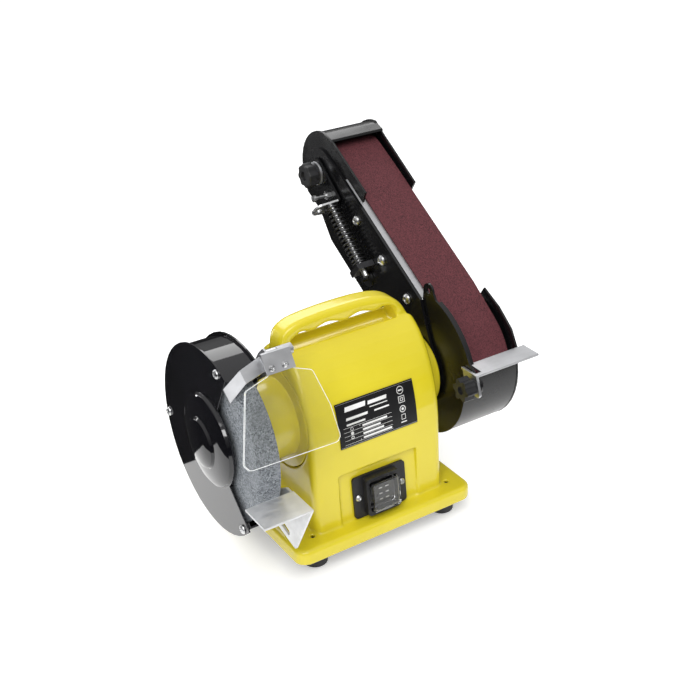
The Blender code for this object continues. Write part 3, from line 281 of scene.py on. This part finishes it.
PALE_PRINT = moulded("pale_print", (0.62, 0.62, 0.60), 0.45, 0.3)
EDGE_GLOW = painted_edge_glow()

FINISHES = {
    "yellow_paint": YELLOW, "black_paint": BLACK, "bright_steel": ZINC, "brushed_steel": BRUSHED,
    "dark_steel": OILED, "grey_abrasive": GRIT, "belt_abrasive": CLOTH, "clear_plastic": CLEAR,
    "black_plastic": PLASTIC, "rubber": RUBBER, "copper": COPPER, "aluminium": CAST,
}
SLOT_OF = {part["node"]: part["material_slot"] for part in frame["record"]["subparts"]}


def dress_cad_nodes():
    for name, node in frame["nodes"].items():
        node.data.materials.clear()
        node.data.materials.append(FINISHES[SLOT_OF[name]])


# ---------------------------------------------------------------- mesh helpers

def add_piece(name, mesh, material, body):
    piece = bpy.data.objects.new(name, mesh)
    bpy.context.scene.collection.objects.link(piece)
    mesh.materials.clear()
    mesh.materials.append(material)
    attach(piece, body)
    return piece


def smooth(mesh, angle=32):
    mesh.shade_smooth()
    mesh.set_sharp_from_angle(angle=math.radians(angle))


def bake(piece):
    """Applies a piece's modifiers to its mesh."""
    bpy.context.view_layer.update()
    graph = bpy.context.evaluated_depsgraph_get()
    mesh = bpy.data.meshes.new_from_object(piece.evaluated_get(graph))
    piece.modifiers.clear()
    piece.data = mesh
    return piece


def weigh_normals(piece):
    """Keeps flat faces flat next to rounded edges."""
    weigh = piece.modifiers.new("weigh", "WEIGHTED_NORMAL")
    weigh.mode = "FACE_AREA"
    weigh.weight = 90
    weigh.keep_sharp = True
    bake(piece)


def refined(node, bevel_mm=0.35, material=None, segments=2, angle=28):
    """A copy of a CAD node with its facets welded, its edges rounded and its curves shaded smooth."""
    source = frame["nodes"][node]
    mesh = source.data.copy()
    shape = bmesh.new()
    shape.from_mesh(mesh)
    bmesh.ops.remove_doubles(shape, verts=shape.verts, dist=2e-6)
    bmesh.ops.dissolve_limit(shape, angle_limit=math.radians(0.6), verts=shape.verts, edges=shape.edges)
    bmesh.ops.recalc_face_normals(shape, faces=shape.faces)
    shape.to_mesh(mesh)
    shape.free()
    piece = add_piece(node + "_look", mesh, material or FINISHES[SLOT_OF[node]], BODY_OF[node])
    if bevel_mm:
        bevel = piece.modifiers.new("round", "BEVEL")
        bevel.width = bevel_mm * MM
        bevel.segments = segments
        bevel.limit_method = "ANGLE"
        bevel.angle_limit = math.radians(angle)
        bevel.use_clamp_overlap = True
        bake(piece)
    smooth(piece.data, angle + 4)
    weigh_normals(piece)
    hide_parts(node)
    return piece


def softened(node, voxel_mm, passes):
    """A pressed piece remade at a fine even grain, so that every corner turns through a small radius."""
    mesh = frame["nodes"][node].data.copy()
    piece = add_piece(node + "_look", mesh, FINISHES[SLOT_OF[node]], BODY_OF[node])
    even = piece.modifiers.new("even", "REMESH")
    even.mode = "VOXEL"
    even.voxel_size = voxel_mm * MM
    relax = piece.modifiers.new("relax", "SMOOTH")
    relax.factor = 0.5
    relax.iterations = passes
    bake(piece)
    piece.data.shade_smooth()
    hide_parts(node)
    return piece


def paint_faces(piece, material, test):
    """Gives the material to each face whose centre, in frame metres, and normal pass the test."""
    piece.data.materials.append(material)
    last = len(piece.data.materials) - 1
    for face in piece.data.polygons:
        if test(face.center, face.normal):
            face.material_index = last


def boxes(spans):
    """A mesh of boxes, each given as (origin, three half-length vectors)."""
    shape = bmesh.new()
    for centre, sides in spans:
        turn = Matrix([side * 2 for side in sides]).transposed().to_4x4()
        bmesh.ops.create_cube(shape, size=1.0, matrix=Matrix.Translation(centre) @ turn)
    bmesh.ops.recalc_face_normals(shape, faces=shape.faces)
    mesh = bpy.data.meshes.new("boxes")
    shape.to_mesh(mesh)
    shape.free()
    return mesh


def cross_recess(piece, outward, radius_mm, turn_degrees=20.0, deep_mm=1.1):
    """Cuts the cross of a driver into a screw's head, which faces outward."""
    outward = Vector(outward).normalized()
    reach = [v.co.dot(outward) for v in piece.data.vertices]
    top = max(reach)
    face = [v.co for v, r in zip(piece.data.vertices, reach) if r > top - 0.00005]
    centre = sum(face, Vector()) / len(face)
    side = outward.orthogonal().normalized()
    side.rotate(Matrix.Rotation(math.radians(turn_degrees), 3, outward))
    other = outward.cross(side)
    long, wide, deep = radius_mm * MM, radius_mm * 0.24 * MM, deep_mm * MM
    for i, (a, b) in enumerate(((side, other), (other, side))):
        cutter = bpy.data.objects.new("cross", boxes([(centre, (a * long, b * wide, outward * deep))]))
        bpy.context.scene.collection.objects.link(cutter)
        step = piece.modifiers.new(f"cross_{i}", "BOOLEAN")
        step.operation = "DIFFERENCE"
        step.object = cutter
        bake(piece)
        bpy.data.objects.remove(cutter)
    smooth(piece.data)


# Width in millimetres of the rounded edge on each node that is refined.
EDGE_WIDTHS = {
    0.0: ["abrasive_belt"],
    0.2: ["nameplate"],
    0.3: ["shield_bracket", "platen", "roller_axle", "pivot_ring", "motor_shaft", "bottom_plate"],
    0.4: ["wheel_guard", "wheel_guard_cover", "belt_guard", "spark_arrestor", "shield_clamp",
          "tool_rest_bolt", "spring_seat", "grinding_wheel", "drive_wheel", "drive_wheel_nut",
          "wheel_flange_outer", "wheel_flange_inner", "cable_gland", "tracking_roller"],
    0.45: ["upper_hood"],
    0.5: ["arm_plate", "belt_guard_cover", "tool_rest", "belt_rest", "tracking_knob", "switch_cover",
          "wheel_nut", "foot_front_left", "foot_front_right", "foot_back_left", "foot_back_right"],
    0.6: ["belt_rest_knob", "switch_plate"],
    1.0: ["end_bell_left", "end_bell_right"],
}
# Nodes whose finish is finer than their material slot says.
LOOKS = {"wheel_guard": MIRROR_BLACK, "wheel_guard_cover": MIRROR_BLACK, "spring_seat": OILED,
         "spark_arrestor": BRUSHED, "shield_clamp": BRUSHED, "tool_rest": SATIN, "nameplate": PLATE}

dress_cad_nodes()
for width, node_names in EDGE_WIDTHS.items():
    for node_name in node_names:
        refined(node_name, width, LOOKS.get(node_name))
softened("housing", 1.0, 6)


# ---------------------------------------------------------------- screws

SWITCH_LEAN = math.atan2(5.4, 48.7)
SHIELD_LEAN = math.radians(32.0)
LEFT, RIGHT = (-1.0, 0.0, 0.0), (1.0, 0.0, 0.0)
OUT_OF_SWITCH = (0.0, -math.cos(SWITCH_LEAN), math.sin(SWITCH_LEAN))
OUT_OF_SHIELD = (0.0, -math.cos(SHIELD_LEAN), math.sin(SHIELD_LEAN))
# For each screw: the way its head faces, its cross's half length in millimetres and its turn in degrees.
SCREW_HEADS = {
    "guard_screw_1": (LEFT, 2.3, 12), "guard_screw_2": (LEFT, 2.3, 51), "guard_screw_3": (LEFT, 2.3, 33),
    "arrestor_screw": (RIGHT, 2.4, 25),
    "switch_screw_left": (OUT_OF_SWITCH, 2.2, 15), "switch_screw_right": (OUT_OF_SWITCH, 2.2, 40),
    "shield_screw_1": (OUT_OF_SHIELD, 2.0, 10), "shield_screw_2": (OUT_OF_SHIELD, 2.0, 55),
    "platen_bolt_1": (LEFT, 2.7, 30), "platen_bolt_2": (LEFT, 2.7, 5), "platen_bolt_3": (LEFT, 2.7, 62),
}
for node_name, (outward, radius, turn) in SCREW_HEADS.items():
    cross_recess(refined(node_name, 0.25), outward, radius, turn)


# ---------------------------------------------------------------- clear eye shield, carriage and spring

SHIELD_RIM = 0.45


def dress_shield():
    """The sheet is clear on its two faces; round its cut edge it is painted pale with a faint glow, painted light
    standing in for the light the edge gathers.
    """
    panel = refined("eye_shield", 0.25, CLEAR, 1)
    outward = Vector(OUT_OF_SHIELD)
    # the painted pale, faintly glowing edge material (painted light) goes on the side faces and on a thin border
    # of the front face
    panel.data.materials.append(EDGE_GLOW)
    shape = bmesh.new()
    shape.from_mesh(panel.data)
    for face in shape.faces:
        if abs(face.normal.dot(outward)) < 0.55:
            face.material_index = 1
    front = [face for face in shape.faces if face.normal.dot(outward) > 0.99 and face.calc_area() > 2e-5]
    border = bmesh.ops.inset_region(shape, faces=front, thickness=SHIELD_RIM * MM, use_boundary=True,
                                    use_even_offset=True)
    for face in border["faces"]:
        face.material_index = 1
    shape.to_mesh(panel.data)
    shape.free()


CARRIAGE_PLATE_X = 84.6


def dress_carriage():
    """The sliding plate is enamelled; its tab, stop screw and guide rod are bright."""
    carriage = refined("tension_carriage", 0.35)
    plate_x = SHAFT_AT.x + CARRIAGE_PLATE_X * MM
    paint_faces(carriage, ZINC, lambda centre, normal: centre.x < plate_x)


ROLLER_FROM_SHAFT = (0.0, -35.5, 209.0)


def arm_point(x, along, aside):
    """Frame point on the line from shaft to roller, along it and aside from it towards the belt's face."""
    line = Vector(ROLLER_FROM_SHAFT).normalized()
    across = Vector((0.0, -line.z, line.y))
    return TO_FRAME @ ARM_TO_DESIGN @ (Vector((x, 0.0, 0.0)) + line * along + across * aside)


SPRING_X = 79.0
SPRING_ASIDE = 5.0
SPRING_LOW, SPRING_HIGH = 109.2, 171.0
SPRING_RADIUS = 6.7
SPRING_WIRE = 1.0
SPRING_TURNS = 15
POINTS_A_TURN = 40


def coil_points():
    """Points along the spring's wire. Its end turns lie closed, and the others share the rest."""
    start = arm_point(SPRING_X, SPRING_LOW, SPRING_ASIDE)
    end = arm_point(SPRING_X, SPRING_HIGH, SPRING_ASIDE)
    front = (arm_point(SPRING_X, SPRING_LOW, SPRING_ASIDE + 1.0) - start).normalized()
    side = Vector((1.0, 0.0, 0.0))
    closed = 2.0 * SPRING_WIRE / (SPRING_HIGH - SPRING_LOW)
    pitch = (1 - 2 * closed) / (SPRING_TURNS - 2)
    for i in range(SPRING_TURNS * POINTS_A_TURN + 1):
        turn = i / POINTS_A_TURN
        part = closed * turn if turn < 1 else closed + pitch * (turn - 1)
        if turn > SPRING_TURNS - 1:
            part = 1 - closed * (SPRING_TURNS - turn)
        spoke = side * math.cos(2 * math.pi * turn) + front * math.sin(2 * math.pi * turn)
        yield start.lerp(end, part) + spoke * SPRING_RADIUS * MM


def wire_mesh(points, radius_mm):
    """A round wire through the points, as a mesh with closed ends."""
    curve = bpy.data.curves.new("wire", "CURVE")
    curve.dimensions = "3D"
    curve.bevel_depth = radius_mm * MM
    curve.bevel_resolution = 3
    curve.use_fill_caps = True
    spline = curve.splines.new("POLY")
    spline.points.add(len(points) - 1)
    for knot, point in zip(spline.points, points):
        knot.co = (*point, 1.0)
    holder = bpy.data.objects.new("wire", curve)
    bpy.context.scene.collection.objects.link(holder)
    bpy.context.view_layer.update()
    mesh = bpy.data.meshes.new_from_object(holder.evaluated_get(bpy.context.evaluated_depsgraph_get()))
    bpy.data.objects.remove(holder)
    return mesh


def wind_spring():
    """The tension spring as a smooth round wire."""
    mesh = wire_mesh(list(coil_points()), SPRING_WIRE)
    piece = add_piece("tension_spring_look", mesh, OILED, BODY_OF["tension_spring"])
    mesh.shade_smooth()
    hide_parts("tension_spring")
    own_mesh(piece)


dress_shield()
dress_carriage()
wind_spring()


# ---------------------------------------------------------------- nameplate and switch marks

BODY_HALF_DEPTH = 55.0
ARCH_START_Z = 90.0
ARCH_RISE = 100.0
ARCH_EXPONENT = 0.54
PLATE_LIFT = 1.07


def on_nameplate(x, z):
    """Frame point just above the nameplate, which follows the housing's arched front."""
    rise = (z - ARCH_START_Z) / ARCH_RISE
    half_depth = BODY_HALF_DEPTH * max(0.0, 1.0 - rise * rise) ** ARCH_EXPONENT
    return TO_FRAME @ Vector((x, -half_depth - PLATE_LIFT, z))


def printed(name, quads, at, material, body):
    """Flat printed marks: each quad is four (u, v) corners, laid on the surface that at(u, v) describes."""
    shape = bmesh.new()
    for quad in quads:
        shape.faces.new([shape.verts.new(at(u, v)) for u, v in quad])
    mesh = bpy.data.meshes.new(name)
    shape.to_mesh(mesh)
    shape.free()
    return add_piece(name, mesh, material, body)


def bar(left, bottom, right, top, slant=0.0):
    """One printed bar, its top edge moved sideways by the slant."""
    return [[(left, bottom), (right, bottom), (right + slant, top), (left + slant, top)]]


def ring(u, v, outer, inner, count=28):
    """A printed ring, or a disc where inner is 0."""
    angles = [2 * math.pi * i / count for i in range(count + 1)]
    spokes = [(math.cos(angle), math.sin(angle)) for angle in angles]
    quads = []
    for (c, s), (d, t) in zip(spokes, spokes[1:]):
        quads.append([(u + c * outer, v + s * outer), (u + d * outer, v + t * outer),
                      (u + d * inner, v + t * inner), (u + c * inner, v + s * inner)])
    return quads


def frame_box(left, bottom, right, top, thick):
    """The four printed sides of a rectangle."""
    return (bar(left, bottom, right, bottom + thick) + bar(left, top - thick, right, top)
            + bar(left, bottom, left + thick, top) + bar(right - thick, bottom, right, top))


def print_nameplate():
    """A data table with blank fields: heading bars, rules, plain round marks and a column of plain signs."""
    marks = bar(-22.5, 137.0, -2.0, 141.0, 1.0) + bar(0.5, 137.0, 19.5, 140.0, 0.8)
    marks += bar(2.0, 134.2, 20.0, 135.0)
    marks += bar(-22.5, 129.6, -1.0, 131.8, 0.6) + bar(6.0, 129.8, 21.0, 131.2)
    marks += bar(-22.5, 125.0, -4.0, 126.6)
    row = 3.7
    for level in range(5):
        marks += bar(-26.0, 123.4 - level * row, 22.5, 123.65 - level * row)
    marks += bar(-10.2, 108.4, -9.95, 123.5)
    for level, width in enumerate((25.0, 18.0, 21.0, 29.0)):
        marks += bar(-7.5, 120.6 - level * row, -7.5 + width, 122.3 - level * row)
    marks += ring(-18.0, 121.6, 1.5, 1.1) + ring(-18.0, 117.7, 1.5, 0.0) + ring(-18.0, 113.9, 1.5, 0.9)
    marks += ring(34.0, 139.4, 3.4, 2.9) + bar(32.0, 138.8, 36.0, 140.0)
    marks += frame_box(31.0, 128.6, 37.2, 134.4, 0.5) + frame_box(32.6, 130.2, 35.6, 132.8, 0.45)
    marks += ring(34.0, 123.0, 3.1, 2.4) + ring(34.0, 123.0, 1.2, 0.0)
    marks += frame_box(32.0, 113.4, 36.2, 118.2, 0.45) + bar(31.2, 110.6, 37.0, 111.6)
    printed("nameplate_print", marks, on_nameplate, PALE_PRINT, "frame")
    rim = frame_box(-29.7, 106.8, 47.2, 144.5, 0.3)
    printed("nameplate_rim", rim, on_nameplate, BRUSHED, "frame")


SWITCH_AT = Vector(JOINTS["switch_rocker_tilt"]["pos_m"])
SWITCH_TURN = Matrix.Rotation(-SWITCH_LEAN, 4, "X")


def on_switch(depth):
    """A function from (u, v) in millimetres to the frame point this deep in the leaning switch panel."""
    return lambda u, v: SWITCH_AT + (SWITCH_TURN @ Vector((u, depth, v))) * MM


ROCKER_FACE = -7.35


def print_switch():
    """Six plain marks on the rocker, in two columns."""
    marks = []
    for u in (-4.6, 2.0):
        for v in (-6.0, -0.6, 4.8):
            marks += bar(u, v, u + 3.4, v + 0.9)
    printed("rocker_print", marks, on_switch(ROCKER_FACE), PALE_PRINT, "rocker")


print_nameplate()
print_switch()


# ---------------------------------------------------------------- floor, light and camera

def lit_panel(name, place, size, power, aim):
    """A soft box of this width and height in metres, facing the point it aims at."""
    light = bpy.data.lights.new(name, "AREA")
    light.shape = "RECTANGLE"
    light.size, light.size_y = size
    light.energy = power
    lamp = bpy.data.objects.new(name, light)
    bpy.context.scene.collection.objects.link(lamp)
    lamp.location = place
    lamp.rotation_euler = (Vector(aim) - Vector(place)).to_track_quat("-Z", "Y").to_euler()
    lamp.visible_camera = False


FLOOR_REACH = 80.0
FLOOR_Z = -0.0002


def make_floor():
    """A plain pale floor that reaches almost to the horizon."""
    shape = bmesh.new()
    bmesh.ops.create_grid(shape, x_segments=1, y_segments=1, size=FLOOR_REACH)
    mesh = bpy.data.meshes.new("floor")
    shape.to_mesh(mesh)
    shape.free()
    floor = bpy.data.objects.new("floor", mesh)
    bpy.context.scene.collection.objects.link(floor)
    floor.location.z = FLOOR_Z
    shade = Shade("floor", (0.95, 0.95, 0.95), 0.45)
    shade.rough(shade.noise(3.0), 0.40, 0.52)
    shade.set("Emission Color", (1.0, 1.0, 1.0, 1.0))
    shade.set("Emission Strength", 0.32)
    mesh.materials.append(shade.material)


# The pale bench top that reflections see: its left, right, front and back edges, in metres.
BENCH_LEFT, BENCH_RIGHT, BENCH_FRONT, BENCH_BACK = -0.36, 0.42, -0.5, 0.104
SURROUND_Z = 0.0004


def make_surround():
    """The dark room beyond the pale bench top. Only mirror-like reflections see it."""
    shape = bmesh.new()
    spans = ((-FLOOR_REACH, BENCH_LEFT, -FLOOR_REACH, FLOOR_REACH),
             (BENCH_RIGHT, FLOOR_REACH, -FLOOR_REACH, FLOOR_REACH),
             (BENCH_LEFT, BENCH_RIGHT, -FLOOR_REACH, BENCH_FRONT),
             (BENCH_LEFT, BENCH_RIGHT, BENCH_BACK, FLOOR_REACH))
    for left, right, front, back in spans:
        corners = ((left, front), (right, front), (right, back), (left, back))
        shape.faces.new([shape.verts.new((x, y, SURROUND_Z)) for x, y in corners])
    mesh = bpy.data.meshes.new("surround")
    shape.to_mesh(mesh)
    shape.free()
    surround = bpy.data.objects.new("surround", mesh)
    bpy.context.scene.collection.objects.link(surround)
    shade = Shade("surround", (0.02, 0.02, 0.022), 0.9)
    shade.colour(shade.ramp(shade.noise(2.0), [(0.3, 0.014), (0.7, 0.026)]))
    shade.set("Specular IOR Level", 0.0)
    mesh.materials.append(shade.material)
    surround.visible_camera = False
    surround.visible_diffuse = False
    surround.visible_transmission = False
    surround.visible_shadow = False


def make_sky():
    """Soft light from all round, brightest overhead and dim near the horizon."""
    world = bpy.data.worlds.new("studio")
    bpy.context.scene.world = world
    world.use_nodes = True
    nodes, links = world.node_tree.nodes, world.node_tree.links
    place = nodes.new("ShaderNodeTexCoord")
    parts = nodes.new("ShaderNodeSeparateXYZ")
    level = nodes.new("ShaderNodeMapRange")
    level.inputs["From Min"].default_value = 0.05
    level.inputs["From Max"].default_value = 0.85
    level.inputs["To Min"].default_value = 0.16
    level.inputs["To Max"].default_value = 0.80
    links.new(place.outputs["Generated"], parts.inputs[0])
    links.new(parts.outputs["Z"], level.inputs["Value"])
    links.new(level.outputs["Result"], nodes["Background"].inputs["Strength"])
    nodes["Background"].inputs["Color"].default_value = (1.0, 1.0, 1.0, 1.0)


def sun(name, towards, strength, spread_degrees):
    """A wide soft light from far away."""
    light = bpy.data.lights.new(name, "SUN")
    light.energy = strength
    light.angle = math.radians(spread_degrees)
    lamp = bpy.data.objects.new(name, light)
    bpy.context.scene.collection.objects.link(lamp)
    lamp.rotation_euler = Vector(towards).to_track_quat("-Z", "Y").to_euler()


def make_studio():
    make_floor()
    make_surround()
    make_sky()
    sun("key", (0.35, 0.60, -1.0), 1.35, 40.0)
    lit_panel("left_box", (-0.80, -0.75, 0.80), (0.12, 0.7), 2.6, (0, 0, 0.15))
    lit_panel("strip", (-0.55, 0.85, 0.25), (0.05, 0.5), 1.4, (-0.13, 0.0, 0.12))
    lit_panel("back_box", (0.2, 0.9, 1.0), (1.3, 0.5), 6.0, (0, 0, 0.15))
    bpy.context.scene.view_settings.view_transform = "Standard"


# The camera's place from the shaft's middle in millimetres, its angles in radians and its focal length.
CAMERA_FROM_SHAFT = (-466.9, -764.6, 531.5)
CAMERA_AZIMUTH = -0.56292
CAMERA_ELEVATION = 0.49767
CAMERA_ROLL = -0.02696
LENS = 61.13


def make_camera():
    """The camera looks down at the machine from the front, on the grinding wheel's side."""
    data = bpy.data.cameras.new("camera")
    data.lens = LENS
    data.sensor_width = 36.0
    camera = bpy.data.objects.new("camera", data)
    bpy.context.scene.collection.objects.link(camera)
    back = Vector((math.sin(CAMERA_AZIMUTH) * math.cos(CAMERA_ELEVATION),
                   -math.cos(CAMERA_AZIMUTH) * math.cos(CAMERA_ELEVATION), math.sin(CAMERA_ELEVATION)))
    right = (-back).cross(Vector((0, 0, 1))).normalized()
    up = right.cross(-back)
    turn = Matrix((right, up, back)).transposed().to_4x4() @ Matrix.Rotation(CAMERA_ROLL, 4, "Z")
    camera.matrix_world = Matrix.Translation(SHAFT_AT + Vector(CAMERA_FROM_SHAFT) * MM) @ turn
    bpy.context.scene.camera = camera


make_studio()
make_camera()
